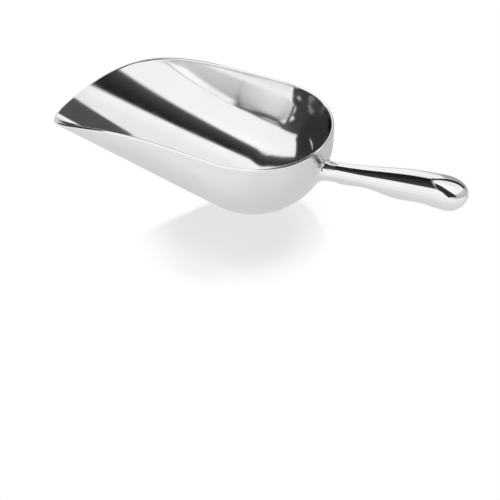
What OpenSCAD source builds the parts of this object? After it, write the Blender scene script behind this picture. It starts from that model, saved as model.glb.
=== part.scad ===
// Ice scoop with a rounded back, an open trough and a solid finger grip.
// Millimetres, +Z up, the nose of the scoop toward -X and the handle toward +X.
// Origin: centre of the overall footprint, at the height of the lowest point of the bowl.

/* [Bowl] */
// Outer width across the rounded back
bowl_w = 100; // [86:1:120]
// Height of the rim above the lowest point of the bowl
bowl_depth = 59; // [56:0.5:70]
// Length of the open trough ahead of the rounded back
trough_l = 138.5; // [110:0.5:170]
// Outer width of the trough at the nose
nose_w = 93; // [84:1:100]
// Upward slope of the floor toward the nose, in degrees
floor_rise = 11.2; // [6:0.2:14]
// Length of level rim ahead of the back before it sweeps down
level_l = 16; // [0:1:30]
// How late the rim sweeps down to the nose (2 = early, 5 = late)
rim_sweep = 3.2; // [2:0.1:5]
// Length over which the rounded back blends into the straight floor
blend_l = 5; // [2:0.5:10]
// Wall thickness of the bowl
wall = 2; // [1.8:0.1:2.6]

/* [Handle] */
// Height of the handle axis below the rim where it meets the back
neck_drop = 20; // [16:0.2:24]
// Upward tilt of the handle, in degrees
handle_tilt = 8; // [0:0.5:14]
// Length of the handle along its axis, from the bowl to the butt
handle_l = 95.6; // [86:0.2:110]
// Diameter of the neck
neck_d = 12.4; // [11.6:0.2:14]
// Width of the grip near the butt
grip_w = 20; // [16:0.5:26]
// Height of the grip above the axis near the butt
grip_up = 10.2; // [8:0.1:13]
// Height of the grip below the axis near the butt
grip_down = 10.8; // [8:0.1:13]
// Height of the finger swells under the grip
swell = 1; // [0:0.1:1.4]
// Spacing of the finger swells along the grip
swell_pitch = 35; // [30:1:40]
// Position of the first finger swell
swell_start = 14; // [12:1:18]

/* [Neck joint] */
// Distance from the bowl to the start of the grip
neck_l = 7.5; // [7:0.1:9]
// Spread of the flare at the top of the neck's foot
flare_top = 3.2; // [2.6:0.2:4]
// Spread of the flare at the bottom of the neck's foot
flare_bottom = 6.4; // [5:0.2:8]
// Thread diameter of the handle screw
screw_d = 4; // [3.6:0.1:4]
// Length of the handle screw, head included
screw_l = 10; // [8:0.5:10]
// Diameter of the locating pin
pin_d = 2; // [1.6:0.1:2]

/* [Hidden] */
$fn = 96;
eps = 0.01;
back_r = bowl_w / 2;
nose_r = nose_w / 2;
// Length of the trough without the round edge.
skin_l = trough_l - wall / 2;
neck_r = neck_d / 2;
// Height of the centre of the rounded back, measured from the rim.
ball_z = back_r - bowl_depth;
// Where the handle axis leaves the outside of the back, and how far the back leans there.
foot_x = sqrt(back_r * back_r - pow(neck_drop + ball_z, 2));
foot_lean = asin((neck_drop + ball_z) / back_r);
butt_x = foot_x + handle_l * cos(handle_tilt);
// Shift from the centre of the rounded back (at rim height) to the origin.
shift_x = (trough_l - butt_x) / 2;

// Screw and pin fits.
play = 0.1;
head_r = screw_d;
head_edge = 0.2;
head_sink = 0.05;
cone_h = head_r - screw_d / 2;
pin_off = 6.2;
pin_in_wall = 1.1;
pin_in_foot = 2.2;

// Seal ring round the screw.
seal_in = 3.1;
seal_out = 4.6;
seal_h = 1.1;

// Height of the foot's edge above the bowl.
lip = 0.3;

// Resolution of the two lofted shapes.
trough_steps = 26;
back_steps = 18;
wall_steps = 18;
edge_steps = 4;
grip_steps = 44;
grip_sides = 36;
flare_steps = 8;

function ease(t) = let (u = max(0, min(1, t))) u * u * (3 - 2 * u);
function unit(v) = v / norm(v);

// ---- Bowl --------------------------------------------------------------
// Outer radius, floor height and rim height at a distance d ahead of the back centre.
function soft(d) = sqrt(d * d + blend_l * blend_l) - blend_l;
function radius_at(d) = nose_r + (back_r - nose_r) * pow(1 - soft(d) / soft(trough_l), 2);
function floor_at(d) = -bowl_depth + soft(d) * tan(floor_rise);
function drop_at(d) = pow(max(0, d - level_l) / (skin_l - level_l), rim_sweep);
function rim_at(d) = -wall / 2 + (floor_at(skin_l) + wall / 2) * drop_at(d);

// Section of the trough: angle from the floor up to the rim, then straight wall above it.
function arc_at(d) =
  let (r = radius_at(d), zc = floor_at(d) + r)
  acos(max(0, min(1, (zc - rim_at(d)) / r)));
function straight_at(d) = max(0, rim_at(d) - floor_at(d) - radius_at(d));

// Point of the bowl's skin: d ahead of the back, turned by q round the back,
// at fraction f of the girth from floor to rim, moved inward by t.
function skin(d, q, f, t) =
  let (
    r = radius_at(d),
    zc = floor_at(d) + r,
    full = r * arc_at(d) * PI / 180,
    girth = f * (full + straight_at(d)),
    a = min(girth, full) / r * 180 / PI,
    h = max(0, girth - full),
    rho = (r - t) * sin(a)
  )
  [rho * sin(q) - d, -rho * cos(q), zc - (r - t) * cos(a) + h];

// Stations run from the nose along the near side and round to the middle of the back.
function station(i) =
  i <= trough_steps
    ? [skin_l * (1 - pow(i / trough_steps, 2)), 0]
    : [0, 90 * (i - trough_steps) / back_steps];
stations = trough_steps + back_steps;

// Middle of the rim's edge at a station, and the way the edge faces.
function edge_mid(i) =
  let (s = station(i))
  (skin(s[0], s[1], 1, 0) + skin(s[0], s[1], 1, wall)) / 2;
function edge_out(i) =
  let (
    s = station(i),
    across = skin(s[0], s[1], 1, wall) - skin(s[0], s[1], 1, 0),
    along = i == 0
      ? [0, 1, 0]
      : i == stations
      ? [0, -1, 0]
      : edge_mid(i - 1) - edge_mid(i + 1)
  )
  i == 0 ? [-1, 0, 0] : unit(cross(across, along));

// Closed ring of points: up the outside, over the round edge, down the inside.
function ring(i) =
  let (s = station(i), m = edge_mid(i), n = edge_out(i), a = skin(s[0], s[1], 1, 0) - m)
  concat(
    [for (j = [0:wall_steps]) skin(s[0], s[1], j / wall_steps, 0)],
    [for (k = [1:edge_steps - 1])
      let (w = 180 * k / edge_steps)
      m + a * cos(w) + n * (wall / 2) * sin(w)],
    [for (j = [wall_steps:-1:0]) skin(s[0], s[1], j / wall_steps, wall)]
  );

// Skin over a stack of closed rings with flat ends.
module loft(rings) {
  n = len(rings[0]);
  last = len(rings) - 1;
  polyhedron(
    points = [for (r = rings) each r],
    faces = concat(
      [for (i = [0:last - 1]) for (k = [0:n - 1])
        [i * n + k, (i + 1) * n + k, (i + 1) * n + (k + 1) % n]],
      [for (i = [0:last - 1]) for (k = [0:n - 1])
        [i * n + k, (i + 1) * n + (k + 1) % n, i * n + (k + 1) % n]],
      [[for (k = [0:n - 1]) k]],
      [[for (k = [n - 1:-1:0]) last * n + k]]
    ),
    convexity = 6
  );
}

module half_shell() {
  loft([for (i = [0:stations]) ring(i)]);
}

// ---- Placement ---------------------------------------------------------
// From the rim frame (centre of the rounded back) to the part's own origin.
module place() {
  translate([shift_x, 0, bowl_depth]) children();
}

// From the grip frame: +X along the handle axis, starting at the outside of the back.
module at_foot() {
  place() translate([foot_x, 0, -neck_drop]) rotate([0, -handle_tilt, 0]) children();
}

// From the joint frame: the same start, with +X square to the bowl's wall.
module at_wall() {
  place() translate([foot_x, 0, -neck_drop]) rotate([0, foot_lean, 0]) children();
}

// Turned shape about +X, drawn as [distance along the axis, radius].
module turned(outline) {
  rotate([0, 90, 0]) rotate_extrude() polygon([for (p = outline) [p[1], p[0]]]);
}

// Round bar along +X, off above the axis.
module bar(from, to, d, off = 0) {
  translate([from, 0, off]) rotate([0, 90, 0]) cylinder(d = d, h = to - from);
}

// The ball that the rounded back is part of.
module back_ball() {
  place() translate([0, 0, ball_z]) sphere(r = back_r, $fn = 180);
}

// Room for the countersunk head of the handle screw.
module head_room() {
  edge = head_sink + head_edge - wall;
  at_wall() turned([
    [-wall - 2, 0],
    [-wall - 2, head_r + play],
    [edge, head_r + play],
    [edge + head_r + play, 0]
  ]);
}

// ---- Nodes -------------------------------------------------------------
module bowl() {
  color("silver")
  difference() {
    union() {
      place() half_shell();
      place() mirror([0, 1, 0]) half_shell();
    }
    at_wall() bar(-wall - 3, 3, screw_d + 2 * play);
    head_room();
    at_wall() bar(-pin_seat() - play, 3, pin_d + play, pin_off);
  }
}

// Depth of the pin's inner end below the start of the joint frame.
function pin_seat() = pin_in_wall + pin_off * pin_off / (2 * back_r);

module seal_ring() {
  c = 0.25;
  color("dimgray")
  difference() {
    at_wall() turned([
      [-1, seal_in],
      [-1, seal_out],
      [seal_h - c, seal_out],
      [seal_h, seal_out - c],
      [seal_h, seal_in + c],
      [seal_h - c, seal_in]
    ]);
    back_ball();
  }
}

module locating_pin() {
  c = 0.25;
  from = -pin_seat();
  color("lightslategray")
  at_wall() translate([0, 0, pin_off]) turned([
    [from, 0],
    [from, pin_d / 2 - c],
    [from + c, pin_d / 2],
    [pin_in_foot - c, pin_d / 2],
    [pin_in_foot, pin_d / 2 - c],
    [pin_in_foot, 0]
  ]);
}

module handle_screw() {
  top = head_sink - wall;
  tip = top + screw_l;
  color("slategray")
  difference() {
    at_wall() turned([
      [top, 0],
      [top, head_r],
      [top + head_edge, head_r],
      [top + head_edge + cone_h, screw_d / 2],
      [tip - 0.8, screw_d / 2],
      [tip, screw_d / 2 - 0.8],
      [tip, 0]
    ]);
    // Hexagon socket in the head.
    at_wall() translate([top - 1, 0, 0]) rotate([0, 90, 0]) cylinder(d = 2.9, h = 2.4, $fn = 6);
  }
}

// Foot of the handle: how far along the grip axis the back is met by a line beside it,
// off by rho at angle w.
function foot_at(w, rho) =
  let (
    p = [
      foot_x - rho * sin(w) * sin(handle_tilt),
      rho * cos(w),
      rho * sin(w) * cos(handle_tilt) - neck_drop - ball_z
    ],
    b = p * [cos(handle_tilt), 0, sin(handle_tilt)]
  )
  sqrt(b * b - p * p + back_r * back_r) - b;

// Flare between foot and neck at angle w: t runs from the foot (0) to the neck (1).
function flare(w, t) =
  let (
    spread = flare_top + (flare_bottom - flare_top) * (1 - sin(w)) / 2,
    foot = foot_at(w, neck_r + spread) + lip,
    corner = foot_at(w, neck_r),
    neck = corner + min(1.1 * spread, neck_l - 1 - corner),
    s = foot * pow(1 - t, 2) + 2 * corner * t * (1 - t) + neck * t * t,
    r = neck_r + spread * pow(1 - t, 2)
  )
  [s, r * cos(w), r * sin(w)];

function root_ring() =
  [for (k = [0:grip_sides - 1]) let (p = flare(360 * k / grip_sides, 0)) [-9, p[1], p[2]]];
function flare_ring(t) = [for (k = [0:grip_sides - 1]) flare(360 * k / grip_sides, t)];

// Section of the grip at a distance s along its axis.
function cap(s, l, n) =
  s > handle_l - eps ? 0 : pow(1 - pow(max(0, (s - handle_l + l) / l), n), 1 / n);
function widen(s) = ease((s - neck_l - 2) / (0.6 * handle_l));
function up_at(s) = neck_r + (grip_up - neck_r) * widen(s);
function side_at(s) = neck_r + (grip_w / 2 - neck_r) * widen(s);
function down_at(s) =
  neck_r
  + (grip_down - neck_r) * ease((s - swell_start) / (0.73 * handle_l))
  + swell * ease((s - neck_l) / 6) * cos(360 * (s - swell_start) / swell_pitch);
function grip_ring(s) =
  [for (k = [0:grip_sides - 1])
    let (
      w = 360 * k / grip_sides,
      half = sin(w) > 0 ? up_at(s) * cap(s, 19, 2.2) : down_at(s) * cap(s, 12, 2)
    )
    [s, side_at(s) * cap(s, 14, 2) * cos(w), half * sin(w)]];

// Spacing of the grip's sections, closer together toward the butt.
function grip_step(t) = t < 0.7 ? t / 0.7 * 0.82 : 0.82 + 0.18 * sin((t - 0.7) * 300);

module handle() {
  color("whitesmoke")
  difference() {
    at_foot() loft(concat(
      [root_ring()],
      [for (i = [0:flare_steps]) flare_ring(i / flare_steps)],
      [for (i = [0:grip_steps]) grip_ring(neck_l + (handle_l - neck_l) * grip_step(i / grip_steps))]
    ));
    back_ball();
    // Tapped hole for the screw, seat for the pin, groove for the seal ring.
    at_wall() bar(-3, screw_l - wall + 1, screw_d + play);
    head_room();
    at_wall() bar(-3, pin_in_foot + play, pin_d + play, pin_off);
    at_wall() turned([
      [-3, seal_in - play],
      [-3, seal_out + play],
      [seal_h, seal_out + play],
      [seal_h, seal_in - play]
    ]);
  }
}

bowl();
handle();
handle_screw();
locating_pin();
seal_ring();
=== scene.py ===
"""Looks of the ice scoop: a satin bowl with a polished inside, and a mirror polished handle.

Everything is in metres, in the frame of the CAD model. The curves of the bowl and the handle are
the ones that the CAD model is built from, drawn here with many more steps.
"""

import math

import bmesh
import bpy
from mathutils import Matrix, Vector


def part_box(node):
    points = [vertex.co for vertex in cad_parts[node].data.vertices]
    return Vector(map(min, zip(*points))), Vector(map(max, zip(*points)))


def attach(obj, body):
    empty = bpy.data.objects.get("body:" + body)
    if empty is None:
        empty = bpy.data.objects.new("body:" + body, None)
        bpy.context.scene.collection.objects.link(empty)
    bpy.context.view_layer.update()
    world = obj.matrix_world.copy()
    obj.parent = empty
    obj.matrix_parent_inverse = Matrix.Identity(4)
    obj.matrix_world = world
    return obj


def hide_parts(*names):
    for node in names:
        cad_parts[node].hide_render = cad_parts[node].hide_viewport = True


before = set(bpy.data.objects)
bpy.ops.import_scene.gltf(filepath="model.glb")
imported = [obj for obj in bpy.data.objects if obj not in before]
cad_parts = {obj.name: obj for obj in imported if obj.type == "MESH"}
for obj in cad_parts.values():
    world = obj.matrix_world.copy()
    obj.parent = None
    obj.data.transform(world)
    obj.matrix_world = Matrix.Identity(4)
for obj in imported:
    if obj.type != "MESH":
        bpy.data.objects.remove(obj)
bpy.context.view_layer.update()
BOWL_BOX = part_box("bowl")

MM = 0.001

# Bowl
WALL = 2 * MM
DEPTH = BOWL_BOX[1].z
BACK_R = (BOWL_BOX[1].y - BOWL_BOX[0].y) / 2
NOSE_R = 46.5 * MM
BACK_X = BOWL_BOX[1].x - BACK_R
TROUGH_L = BACK_X - BOWL_BOX[0].x
SKIN_L = TROUGH_L - WALL / 2
FLOOR_SLOPE = math.tan(math.radians(11.2))
LEVEL_L = 16 * MM
RIM_SWEEP = 3.2
BLEND_L = 5 * MM
BALL_Z = BACK_R - DEPTH

# Handle
NECK_DROP = 20 * MM
TILT = math.radians(8)
HANDLE_L = 95.6 * MM
NECK_R = 6.2 * MM
NECK_L = 7.5 * MM
FLARE_TOP = 3.2 * MM
FLARE_BOTTOM = 6.4 * MM
GRIP_SIDE = 10 * MM
GRIP_UP = 10.2 * MM
GRIP_DOWN = 10.8 * MM
SWELL = 1 * MM
SWELL_PITCH = 35 * MM
SWELL_START = 14 * MM
SWELL_RISE = 6 * MM
WIDEN_FROM = NECK_L + 2 * MM
SIDE_WIDENS_OVER = 0.6 * HANDLE_L
BELOW_WIDENS_OVER = 0.73 * HANDLE_L
CAP_TOP, CAP_SIDE, CAP_BOTTOM = 19 * MM, 14 * MM, 12 * MM
FLAT_CAP, ROUND_CAP = 2.2, 2
FOOT_X = math.sqrt(BACK_R**2 - (NECK_DROP + BALL_Z) ** 2)
FOOT_LEAN = math.asin((NECK_DROP + BALL_Z) / BACK_R)

# Joint
PLAY = 0.1 * MM
SCREW_R = 2 * MM
HEAD_R = 4 * MM
HEAD_EDGE = 0.25 * MM
PIN_R = 1 * MM
PIN_OFF = 6.2 * MM
PIN_IN_WALL = 1.1 * MM
PIN_IN_FOOT = 2.2 * MM
SEAL_IN, SEAL_OUT, SEAL_H = 3.1 * MM, 4.6 * MM, 1.1 * MM
SHARP_FROM = math.radians(30)


def ease(t):
    t = max(0.0, min(1.0, t))
    return t * t * (3 - 2 * t)


# ---- Bowl ------------------------------------------------------------------
def soft(d):
    """Distance ahead of the back, eased so that the back runs smoothly into the trough."""
    return math.sqrt(d * d + BLEND_L * BLEND_L) - BLEND_L


def radius_at(d):
    return NOSE_R + (BACK_R - NOSE_R) * (1 - soft(d) / soft(TROUGH_L)) ** 2


def floor_at(d):
    return -DEPTH + soft(d) * FLOOR_SLOPE


def rim_at(d):
    drop = (max(0.0, d - LEVEL_L) / (SKIN_L - LEVEL_L)) ** RIM_SWEEP
    return -WALL / 2 + (floor_at(SKIN_L) + WALL / 2) * drop


def skin(d, turn, f, depth):
    """Point of the bowl at fraction f of the girth from floor to rim, depth below the outside."""
    r = radius_at(d)
    centre = floor_at(d) + r
    rim = rim_at(d)
    full = r * math.acos(max(0.0, min(1.0, (centre - rim) / r)))
    girth = f * (full + max(0.0, rim - centre))
    a = min(girth, full) / r
    rho = (r - depth) * math.sin(a)
    z = centre - (r - depth) * math.cos(a) + max(0.0, girth - full)
    return Vector((rho * math.sin(turn) - d, -rho * math.cos(turn), z))


def bowl_rings(trough_steps, back_steps, wall_steps, edge_steps):
    """Rings of points over the wall, from the nose along the near side to the middle of the back."""
    stations = [(SKIN_L * (1 - (i / trough_steps) ** 2), 0.0) for i in range(trough_steps + 1)]
    stations += [(0.0, math.pi / 2 * i / back_steps) for i in range(1, back_steps + 1)]
    ends = [(skin(d, q, 1, 0), skin(d, q, 1, WALL)) for d, q in stations]
    mids = [(a + b) / 2 for a, b in ends]
    rings = []
    for i, (d, q) in enumerate(stations):
        across = ends[i][1] - ends[i][0]
        if i == 0:
            out = Vector((-1, 0, 0))
        elif i == len(stations) - 1:
            out = across.cross(Vector((0, -1, 0))).normalized()
        else:
            out = across.cross(mids[i - 1] - mids[i + 1]).normalized()
        ring = [skin(d, q, j / wall_steps, 0) for j in range(wall_steps + 1)]
        for k in range(1, edge_steps):
            w = math.pi * k / edge_steps
            ring.append(mids[i] - across / 2 * math.cos(w) + out * (WALL / 2 * math.sin(w)))
        ring += [skin(d, q, j / wall_steps, WALL) for j in range(wall_steps, -1, -1)]
        rings.append(ring)
    return rings


def build_bowl():
    wall_steps, edge_steps = 64, 10
    rings = bowl_rings(96, 72, wall_steps, edge_steps)
    n = len(rings[0])
    bm = bmesh.new()
    for side in (1, -1):
        grid = [[bm.verts.new((p.x + BACK_X, p.y * side, p.z + DEPTH)) for p in r] for r in rings]
        for i in range(len(rings) - 1):
            for k in range(n - 1):
                quad = [grid[i][k], grid[i + 1][k], grid[i + 1][k + 1], grid[i][k + 1]]
                face = bm.faces.new(quad if side == 1 else quad[::-1])
                face.material_index = 0 if k < wall_steps else 1
    bmesh.ops.remove_doubles(bm, verts=bm.verts, dist=0.5e-6)
    return finish_mesh("bowl_shell", bm)


def finish_mesh(name, bm):
    """Makes a smooth shaded object of a closed bmesh, with its faces pointing outward."""
    if bm.calc_volume(signed=True) < 0:
        bmesh.ops.reverse_faces(bm, faces=bm.faces)
    for face in bm.faces:
        face.smooth = True
    mesh = bpy.data.meshes.new(name)
    bm.to_mesh(mesh)
    bm.free()
    obj = bpy.data.objects.new(name, mesh)
    bpy.context.scene.collection.objects.link(obj)
    return obj


# ---- Handle ----------------------------------------------------------------
def grip_frame():
    """Grip frame: +X along the handle axis, starting at the outside of the back."""
    start = Vector((BACK_X + FOOT_X, 0, DEPTH - NECK_DROP))
    return Matrix.Translation(start) @ Matrix.Rotation(-TILT, 4, "Y")


def wall_frame():
    """Joint frame: the same start, with +X square to the bowl's wall."""
    start = Vector((BACK_X + FOOT_X, 0, DEPTH - NECK_DROP))
    return Matrix.Translation(start) @ Matrix.Rotation(FOOT_LEAN, 4, "Y")


def foot_at(w, rho):
    """How far along the handle axis the back is met by a line beside it, off by rho at angle w."""
    p = Vector((
        FOOT_X - rho * math.sin(w) * math.sin(TILT),
        rho * math.cos(w),
        rho * math.sin(w) * math.cos(TILT) - NECK_DROP - BALL_Z,
    ))
    b = p.dot(Vector((math.cos(TILT), 0, math.sin(TILT))))
    return math.sqrt(b * b - p.dot(p) + BACK_R**2) - b


def flare(w, t, lip=0.05 * MM):
    """Side of the foot at angle w: t runs from the bowl (0) to the neck (1)."""
    spread = FLARE_TOP + (FLARE_BOTTOM - FLARE_TOP) * (1 - math.sin(w)) / 2
    foot = foot_at(w, NECK_R + spread) + lip
    corner = foot_at(w, NECK_R)
    neck = corner + min(1.1 * spread, NECK_L - 1 * MM - corner)
    s = foot * (1 - t) ** 2 + 2 * corner * t * (1 - t) + neck * t * t
    r = NECK_R + spread * (1 - t) ** 2
    return Vector((s, r * math.cos(w), r * math.sin(w)))


def cap(s, length, power):
    """Rounding of the butt over its last stretch."""
    u = max(0.0, (s - HANDLE_L + length) / length)
    return max(0.0, 1 - u**power) ** (1 / power)


def grip_point(s, w):
    widen = ease((s - WIDEN_FROM) / SIDE_WIDENS_OVER)
    side = NECK_R + (GRIP_SIDE - NECK_R) * widen
    if math.sin(w) > 0:
        half = (NECK_R + (GRIP_UP - NECK_R) * widen) * cap(s, CAP_TOP, FLAT_CAP)
    else:
        wave = math.cos(2 * math.pi * (s - SWELL_START) / SWELL_PITCH)
        half = NECK_R + (GRIP_DOWN - NECK_R) * ease((s - SWELL_START) / BELOW_WIDENS_OVER)
        half = (half + SWELL * ease((s - NECK_L) / SWELL_RISE) * wave) * cap(s, CAP_BOTTOM, ROUND_CAP)
    return Vector((s, side * cap(s, CAP_SIDE, ROUND_CAP) * math.cos(w), half * math.sin(w)))


def along_grip(t):
    """Place of a ring along the grip: even up to the butt, and then closer and closer."""
    share, butt = 0.7, 0.82
    if t < share:
        return t / share * butt
    return butt + (1 - butt) * math.sin((t - share) / (1 - share) * math.pi / 2)


def build_handle():
    sides, foot_steps, flare_steps, grip_steps = 96, 10, 20, 150
    angles = [2 * math.pi * k / sides for k in range(sides)]
    rings = []
    for i in range(foot_steps):
        rings.append([on_back(w, i / foot_steps) for w in angles])
    rings.append([on_back(w, 1) for w in angles])
    for i in range(flare_steps + 1):
        rings.append([flare(w, i / flare_steps) for w in angles])
    for i in range(grip_steps + 1):
        s = NECK_L + (HANDLE_L - NECK_L) * along_grip(i / grip_steps)
        rings.append([grip_point(s, w) for w in angles])
    bm = bmesh.new()
    m = grip_frame()
    grid = [[bm.verts.new(m @ p) for p in r] for r in rings]
    for i in range(len(rings) - 1):
        for k in range(sides):
            j = (k + 1) % sides
            bm.faces.new([grid[i][k], grid[i + 1][k], grid[i + 1][j], grid[i][j]])
    bmesh.ops.remove_doubles(bm, verts=bm.verts, dist=2e-6)
    return finish_mesh("handle_grip", bm)


def on_back(w, f):
    """Point of the handle's seat on the bowl, at fraction f of the way out to the foot's edge."""
    spread = FLARE_TOP + (FLARE_BOTTOM - FLARE_TOP) * (1 - math.sin(w)) / 2
    rho = f * (NECK_R + spread)
    return Vector((foot_at(w, rho) + 0.01 * MM, rho * math.cos(w), rho * math.sin(w)))


# ---- Bores -----------------------------------------------------------------
def turned(name, outline, off=0.0, sides=64):
    """Closed turned shape in the joint frame, from points (distance along +X, radius)."""
    bm = bmesh.new()
    m = wall_frame() @ Matrix.Translation((0, 0, off))
    closed = outline[0][1] > 0
    rings = []
    for s, r in outline:
        if r == 0:
            rings.append([bm.verts.new(m @ Vector((s, 0, 0)))] * sides)
            continue
        angles = [2 * math.pi * k / sides for k in range(sides)]
        rings.append([
            bm.verts.new(m @ Vector((s, r * math.cos(w), r * math.sin(w)))) for w in angles
        ])
    count = len(rings) if closed else len(rings) - 1
    for i in range(count):
        a, b = rings[i], rings[(i + 1) % len(rings)]
        for k in range(sides):
            j = (k + 1) % sides
            face = list(dict.fromkeys([a[k], b[k], b[j], a[j]]))
            if len(face) > 2:
                bm.faces.new(face)
    bmesh.ops.recalc_face_normals(bm, faces=bm.faces)
    return finish_mesh(name, bm)


def bore(obj, cutters):
    """Cuts the shapes out of obj, and removes them."""
    for cutter in cutters:
        mod = obj.modifiers.new("bore", "BOOLEAN")
        mod.operation, mod.solver, mod.object = "DIFFERENCE", "EXACT", cutter
        mod.material_mode = "INDEX"
    graph = bpy.context.evaluated_depsgraph_get()
    mesh = bpy.data.meshes.new_from_object(obj.evaluated_get(graph))
    obj.modifiers.clear()
    obj.data = mesh
    for cutter in cutters:
        bpy.data.objects.remove(cutter)
    mesh.set_sharp_from_angle(angle=SHARP_FROM)


def screw_bore(to):
    return turned("screw_bore", [(-4 * MM, 0), (-4 * MM, SCREW_R + PLAY), (to, SCREW_R + PLAY), (to, 0)])


def head_bore():
    edge = HEAD_EDGE - WALL
    r = HEAD_R + PLAY
    return turned("head_bore", [(-WALL - 2 * MM, 0), (-WALL - 2 * MM, r), (edge, r), (edge + r, 0)])


def pin_bore(start, to):
    r = PIN_R + PLAY / 2
    return turned("pin_bore", [(start, 0), (start, r), (to, r), (to, 0)], PIN_OFF, 32)


def seal_groove():
    a, b = SEAL_IN - PLAY, SEAL_OUT + PLAY
    return turned("seal_groove", [(-3 * MM, a), (-3 * MM, b), (SEAL_H, b), (SEAL_H, a)])


# ---- Materials -------------------------------------------------------------
LINE_SCALE, SMUDGE_SCALE, GRAIN_SCALE = 900, 28, 2500
class Shader:
    """A node tree with short ways to add nodes and to mix values."""

    def __init__(self, tree):
        self.nodes, self.links = tree.nodes, tree.links
        self.nodes.clear()

    def add(self, kind, **values):
        """New node; each value goes to the input of that name, or is linked if it is an output."""
        node = self.nodes.new("ShaderNode" + kind)
        for name, value in values.items():
            self.set(node, name.replace("_", " "), value)
        return node

    def set(self, node, name, value):
        socket = node.inputs[name]
        if isinstance(value, bpy.types.NodeSocket):
            self.links.new(value, socket)
        else:
            socket.default_value = value

    def math(self, operation, a, b=0.0):
        node = self.nodes.new("ShaderNodeMath")
        node.operation = operation
        self.set(node, 0, a)
        self.set(node, 1, b)
        return node.outputs[0]

    def remap(self, value, start, end, low=0.0, high=1.0):
        """Value eased from low, at start, to high, at end."""
        node = self.add("MapRange", Value=value)
        node.interpolation_type = "SMOOTHSTEP"
        for name, v in (("From Min", start), ("From Max", end), ("To Min", low), ("To Max", high)):
            node.inputs[name].default_value = v
        return node.outputs["Result"]

    def noise(self, place, scale, stretch=(1, 1, 1), detail=2.0):
        mapping = self.add("Mapping", Vector=place, Scale=stretch)
        node = self.add("TexNoise", Vector=mapping.outputs[0], Scale=scale, Detail=detail)
        return node.outputs["Fac"]

    def blend(self, fac, a, b):
        node = self.nodes.new("ShaderNodeMix")
        node.data_type = "RGBA"
        self.set(node, 0, fac)
        self.set(node, 6, a)
        self.set(node, 7, b)
        return node.outputs[2]


def new_material(name):
    mat = bpy.data.materials.new(name)
    mat.use_nodes = True
    return mat, Shader(mat.node_tree)


def metal(name, color, rough, streak, lines, bump, worn):
    """Polished or satin metal with fine lines along streak, soft smudges and brighter worn edges."""
    mat, sh = new_material(name)
    place = sh.add("TexCoord").outputs["Object"]
    fine = sh.noise(place, LINE_SCALE, streak, 3)
    broad = sh.noise(place, SMUDGE_SCALE, (1, 1, 1), 3)
    smudge = sh.remap(broad, 0.42, 0.72)
    edge = sh.remap(sh.add("NewGeometry").outputs["Pointiness"], 0.52, 0.6)
    dull = tuple(c * 0.94 for c in color)
    bright = tuple(min(1.0, c * 1.04) for c in color)
    tint = sh.blend(sh.math("MULTIPLY", fine, smudge), (*color, 1), (*dull, 1))
    tint = sh.blend(sh.math("MULTIPLY", edge, worn), tint, (*bright, 1))
    r = sh.math("ADD", sh.math("MULTIPLY", fine, lines), sh.math("MULTIPLY", smudge, lines / 2))
    r = sh.math("ADD", r, rough)
    relief = sh.add("Bump", Height=fine, Strength=bump, Distance=0.00002)
    bsdf = sh.add("BsdfPrincipled", Base_Color=tint, Metallic=1.0, Roughness=r, Normal=relief.outputs[0])
    sh.add("OutputMaterial", Surface=bsdf.outputs[0])
    return mat


def rubber(name):
    mat, sh = new_material(name)
    place = sh.add("TexCoord").outputs["Object"]
    grain = sh.noise(place, GRAIN_SCALE, (1, 1, 1), 3)
    tint = sh.blend(grain, (0.02, 0.02, 0.022, 1), (0.04, 0.04, 0.043, 1))
    relief = sh.add("Bump", Height=grain, Strength=0.3, Distance=0.00003)
    rough = sh.remap(grain, 0.2, 0.8, 0.55, 0.75)
    bsdf = sh.add("BsdfPrincipled", Base_Color=tint, Roughness=rough, Normal=relief.outputs[0])
    sh.add("OutputMaterial", Surface=bsdf.outputs[0])
    return mat


# ---- Object ----------------------------------------------------------------
ALONG = (0.04, 1, 1)
satin = metal("satin_outside", (0.84, 0.84, 0.845), 0.22, (1, 1, 1), 0.08, 0.08, 0.8)
polish = metal("polished_inside", (0.9, 0.9, 0.905), 0.05, ALONG, 0.05, 0.04, 0.8)
mirror = metal("mirror_handle", (0.9, 0.9, 0.905), 0.03, ALONG, 0.03, 0.02, 0.5)
steel = metal("brushed_steel", (0.62, 0.62, 0.64), 0.22, (1, 0.05, 1), 0.12, 0.3, 0.6)

bowl = build_bowl()
bowl.data.materials.append(satin)
bowl.data.materials.append(polish)
bore(bowl, [screw_bore(3 * MM), head_bore(), pin_bore(-PIN_IN_WALL - 0.5 * MM, 3 * MM)])
handle = build_handle()
handle.data.materials.append(mirror)
bore(handle, [screw_bore(9 * MM), pin_bore(-3 * MM, PIN_IN_FOOT + PLAY), seal_groove()])
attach(bowl, "root")
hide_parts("bowl")
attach(handle, "root")
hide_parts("handle")
for node, material in (("handle_screw", steel), ("locating_pin", steel), ("seal_ring", rubber("seal"))):
    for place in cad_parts[node].material_slots:
        place.material = material

# ---- Camera ----------------------------------------------------------------
# For this distance, the aim, the angles and the focal length were fitted to the scoop's outline in
# the photograph.
AIM = Vector((-0.00474, 0, -0.04337))
AZIMUTH, ELEVATION = math.radians(27.518), math.radians(38.875)
DISTANCE = 1.3
SENSOR, FOCAL_LENGTH = 36, 143.97
back = Vector((
    math.sin(AZIMUTH) * math.cos(ELEVATION),
    -math.cos(AZIMUTH) * math.cos(ELEVATION),
    math.sin(ELEVATION),
))
lens = bpy.data.cameras.new("camera")
camera = bpy.data.objects.new("camera", lens)
bpy.context.scene.collection.objects.link(camera)
camera.location = AIM + back * DISTANCE
camera.rotation_mode = "QUATERNION"
camera.rotation_quaternion = (-back).to_track_quat("-Z", "Y")
lens.sensor_width = SENSOR
lens.lens = FOCAL_LENGTH
lens.clip_start, lens.clip_end = 0.01, 50
bpy.context.scene.camera = camera


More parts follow.
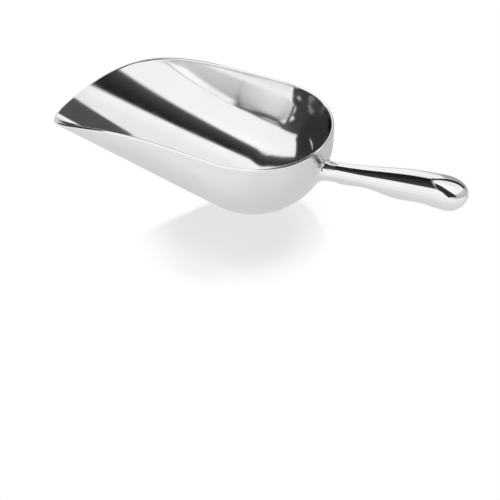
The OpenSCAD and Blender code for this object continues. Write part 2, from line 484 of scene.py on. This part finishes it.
# ---- Studio ----------------------------------------------------------------
def card(name, corners, shades, soft_u, soft_v, after=1):
    """Grey card that only reflections see, with its corners in the order of low u, high u along low v,
    then high u, low u along high v.

    The shade runs over v from the first to the second value, and the card fades out over the
    given fractions of its width at each side. Light that has met the metal fewer times than
    after passes through it, so a card can shade only what is seen deep in the bowl."""
    mesh = bpy.data.meshes.new(name)
    mesh.from_pydata(corners, [], [(0, 1, 2, 3)])
    uv = mesh.uv_layers.new(name="card")
    for loop, value in enumerate(((0, 0), (1, 0), (1, 1), (0, 1))):
        uv.data[loop].uv = value
    mat, sh = new_material(name)
    axes = sh.add("SeparateXYZ", Vector=sh.add("TexCoord").outputs["UV"])
    u, v = axes.outputs[0], axes.outputs[1]
    show = sh.math("GREATER_THAN", sh.add("LightPath").outputs["Glossy Depth"], after - 0.5)
    for along, (low, high) in ((u, soft_u), (v, soft_v)):
        show = sh.math("MULTIPLY", show, sh.remap(along, 0, low) if low else 1.0)
        show = sh.math("MULTIPLY", show, sh.remap(along, 1, 1 - high) if high else 1.0)
    glow = sh.add("Emission", Strength=sh.remap(v, 0, 1, *shades))
    clear = sh.add("BsdfTransparent")
    mix = sh.add("MixShader", Fac=show)
    sh.links.new(clear.outputs[0], mix.inputs[1])
    sh.links.new(glow.outputs[0], mix.inputs[2])
    sh.add("OutputMaterial", Surface=mix.outputs[0])
    mesh.materials.append(mat)
    obj = bpy.data.objects.new(name, mesh)
    bpy.context.scene.collection.objects.link(obj)
    obj.visible_camera = obj.visible_diffuse = obj.visible_shadow = False
    obj.visible_transmission = obj.visible_volume_scatter = False


def roof(height, x0, x1, near, far):
    """Corners of a level card; near and far give y at the low and the high x."""
    return [(x0, near[0], height), (x1, near[1], height), (x1, far[1], height), (x0, far[0], height)]


def wall(x, low, high, y0, y1):
    """Corners of a card across the scoop; y0 and y1 give its sides at the low and the high edge."""
    return [(x, y0[0], low), (x, y1[0], low), (x, y1[1], high), (x, y0[1], high)]


# The cards were fitted to give the bands of the photograph, and hold only for its viewing angle.
# They are not a record of the real studio.
# Heights of the level cards, and places along X and Y of the upright ones.
ROOF, BOWL_ROOF, HANDLE_ROOF = 0.16, 0.07, 0.09
FAR_ROOF, BRIGHT_ROOF = 0.25, 0.252
SIDE, NOSE_SIDE, REAR_SIDE = -0.17, -0.16, -0.163
CORNER_SIDE, STREAK_SIDE = -0.06, -0.155
BEHIND, RIGHT = 0.3, 0.4
# How often light has met the metal before a deep card shades it.
TWICE, THREE_TIMES = 2, 3
# Strip over the middle of the bowl: x, and its near and far y, from the nose to the back.
STRIP = (
    (-0.17, -0.0028, 0.0174),
    (-0.075, -0.003, 0.0152),
    (-0.021, -0.0026, 0.0134),
    (0.02, -0.002, 0.035),
)


def build_bowl_cards():
    names = ("card_bowl_nose", "card_bowl", "card_bowl_end")
    for name, (x0, near0, far0), (x1, near1, far1) in zip(names, STRIP, STRIP[1:]):
        corners = roof(BOWL_ROOF, x0, x1, (near0, near1), (far0, far1))
        card(name, corners, (0.07, 0.006), (0, 0), (0.2, 0.1))
    card("card_corner",
         [(SIDE, 0.052, ROOF), (-0.118, 0.115, ROOF), (-0.145, 0.3, ROOF), (SIDE, 0.3, ROOF)],
         (0.085, 0.085), (0, 0.1), (0.06, 0))
    card("card_nose",
         [(NOSE_SIDE, -0.11, 0.031), (NOSE_SIDE, 0.024, 0.031),
          (NOSE_SIDE, 0.02, 0.15), (NOSE_SIDE, -0.125, 0.095)],
         (0.03, 0.035), (0.1, 0.02), (0.02, 0.1))
    card("card_left_far",
         wall(SIDE, 0.05, ROOF, (0.04, 0.05), (0.3, 0.3)),
         (0.085, 0.085), (0.05, 0), (0.1, 0))


def build_handle_cards():
    card("card_handle",
         roof(HANDLE_ROOF, 0.022, 0.104, (-0.055, -0.056), (0.023, 0.012)),
         (0.06, 0.004), (0, 0.04), (0.15, 0.1))
    card("card_butt_near",
         roof(HANDLE_ROOF, 0.1, 0.33, (-0.06, -0.98), (-0.006, -0.16)),
         (0.03, 0.03), (0, 0.1), (0.1, 0.1))
    card("card_right",
         [(RIGHT, -0.5, 0.0), (RIGHT, 0.4, 0.0), (RIGHT, 0.4, 0.3), (RIGHT, -0.5, 0.3)],
         (0.5, 0.65), (0.15, 0.15), (0, 0.3))
    card("card_butt_far",
         roof(HANDLE_ROOF, 0.1, 0.2, (0.0, 0.045), (0.014, 0.13)),
         (0.02, 0.02), (0, 0.1), (0.1, 0.1))
    card("card_behind",
         [(-0.03, BEHIND, 0), (0.42, BEHIND, 0), (0.42, BEHIND, 0.42), (-0.03, BEHIND, 0.42)],
         (0.35, 0.5), (0.1, 0.1), (0, 0.3))


def build_deep_cards():
    """Cards that shade only what is seen deep in the bowl: its far wall, its back and their corner."""
    card("deep_rear",
         wall(REAR_SIDE, 0.03, 0.68, (-0.42, -0.42), (0.6, 0.6)),
         (0.05, 0.06), (0.1, 0.1), (0.02, 0.25), TWICE)
    card("deep_far",
         [(-0.136, -0.11, FAR_ROOF), (-0.02, -0.13, FAR_ROOF),
          (-0.02, 0.7, FAR_ROOF), (-0.044, 0.7, FAR_ROOF)],
         (0.74, 0.15), (0.18, 0.4), (0.08, 0.05), TWICE)
    card("deep_corner",
         wall(CORNER_SIDE, 0.07, 0.106, (-0.04, -0.04), (0.07, 0.07)),
         (0.1, 0.12), (0.1, 0.15), (0, 0.25), TWICE)
    card("deep_bright",
         [(-0.15, 0.03, BRIGHT_ROOF), (-0.08, 0.04, BRIGHT_ROOF),
          (-0.03, 0.8, BRIGHT_ROOF), (-0.13, 0.8, BRIGHT_ROOF)],
         (1.22, 1.22), (0.1, 0.1), (0.05, 0), TWICE)
    card("deep_streak",
         wall(STREAK_SIDE, 0.11, 0.19, (-0.07, -0.07), (-0.012, -0.012)),
         (0.27, 0.27), (0.3, 0.3), (0.2, 0.2), THREE_TIMES)


def distance(sh, place, x, y, stretch=1.0):
    """How far place is from (x, y), with the part along X multiplied by stretch."""
    mapping = sh.add("Mapping", Vector=place, Location=(-x * stretch, -y, 0), Scale=(stretch, 1, 1))
    node = sh.add("VectorMath")
    node.operation = "LENGTH"
    sh.links.new(mapping.outputs[0], node.inputs[0])
    return node.outputs["Value"]


FLOOR_HALF = 20.0
# The floor mirrors the bowl on one side of a line near the origin. This points to that side, and
# the mirror image fades in between the two distances along it.
MIRROR_SIDE = (0.902, -0.432, 0)
MIRROR_FROM, MIRROR_FULL = -0.018, -0.012


def build_floor():
    """White floor, pure white to the camera, with a faint mirror image; to reflections it has painted
    shade, darker under and beside the scoop and towards +Y.
    """
    mesh = bpy.data.meshes.new("floor")
    s = FLOOR_HALF
    mesh.from_pydata([(-s, -s, 0), (s, -s, 0), (s, s, 0), (-s, s, 0)], [], [(0, 1, 2, 3)])
    mat, sh = new_material("floor")
    place = sh.add("TexCoord").outputs["Object"]
    camera_ray = sh.add("LightPath").outputs["Is Camera Ray"]
    # Painted shade on the floor as reflections see it: its glow is lower under the scoop, beside it and
    # towards +Y.
    shade_under_scoop = sh.remap(distance(sh, place, 0, 0, 0.33), 0.02, 0.12, 0.7, 0.92)
    beside = sh.remap(distance(sh, place, 0.065, -0.1), 0.0, 0.06, 0.88, 1.0)
    behind = sh.remap(sh.add("SeparateXYZ", Vector=place).outputs[1], 0.01, 0.08, 1.0, 0.7)
    # The painted shades together set how brightly the floor glows to reflections.
    seen = sh.math("MULTIPLY", sh.math("MULTIPLY", shade_under_scoop, beside), behind)
    white = sh.add("Emission", Strength=sh.math("MAXIMUM", camera_ray, seen))
    gloss = sh.add("BsdfGlossy", Roughness=0.05)
    side = sh.add("VectorMath")
    side.operation = "DOT_PRODUCT"
    sh.links.new(place, side.inputs[0])
    side.inputs[1].default_value = MIRROR_SIDE
    fade = sh.remap(distance(sh, place, 0, -0.03), 0.03, 0.066, 0.42, 0.0)
    fade = sh.math("MULTIPLY", fade, camera_ray)
    fade = sh.math("MULTIPLY", fade, sh.remap(side.outputs["Value"], MIRROR_FROM, MIRROR_FULL))
    mix = sh.add("MixShader", Fac=fade)
    sh.links.new(white.outputs[0], mix.inputs[1])
    sh.links.new(gloss.outputs[0], mix.inputs[2])
    sh.add("OutputMaterial", Surface=mix.outputs[0])
    mesh.materials.append(mat)
    obj = bpy.data.objects.new("floor", mesh)
    bpy.context.scene.collection.objects.link(obj)


def build_world():
    """White studio, pure white to the camera, and uneven from above to reflections."""
    world = bpy.data.worlds.new("studio")
    bpy.context.scene.world = world
    world.use_nodes = True
    sh = Shader(world.node_tree)
    axes = sh.add("SeparateXYZ", Vector=sh.add("TexCoord").outputs["Generated"])
    above = sh.remap(axes.outputs[2], 0.65, 0.85)
    uneven = sh.remap(axes.outputs[1], -0.3, 0.3, 0.08, -0.09)
    light = sh.math("ADD", 1.0, sh.math("MULTIPLY", above, uneven))
    camera_ray = sh.add("LightPath").outputs["Is Camera Ray"]
    node = sh.nodes.new("ShaderNodeMix")
    sh.set(node, 0, camera_ray)
    sh.set(node, 2, light)
    sh.set(node, 3, 1.0)
    sky = sh.add("Background", Color=(1, 1, 1, 1), Strength=node.outputs[0])
    sh.add("OutputWorld", Surface=sky.outputs[0])


build_bowl_cards()
build_handle_cards()
build_deep_cards()
build_floor()
build_world()
bpy.context.scene.view_settings.view_transform = "Standard"
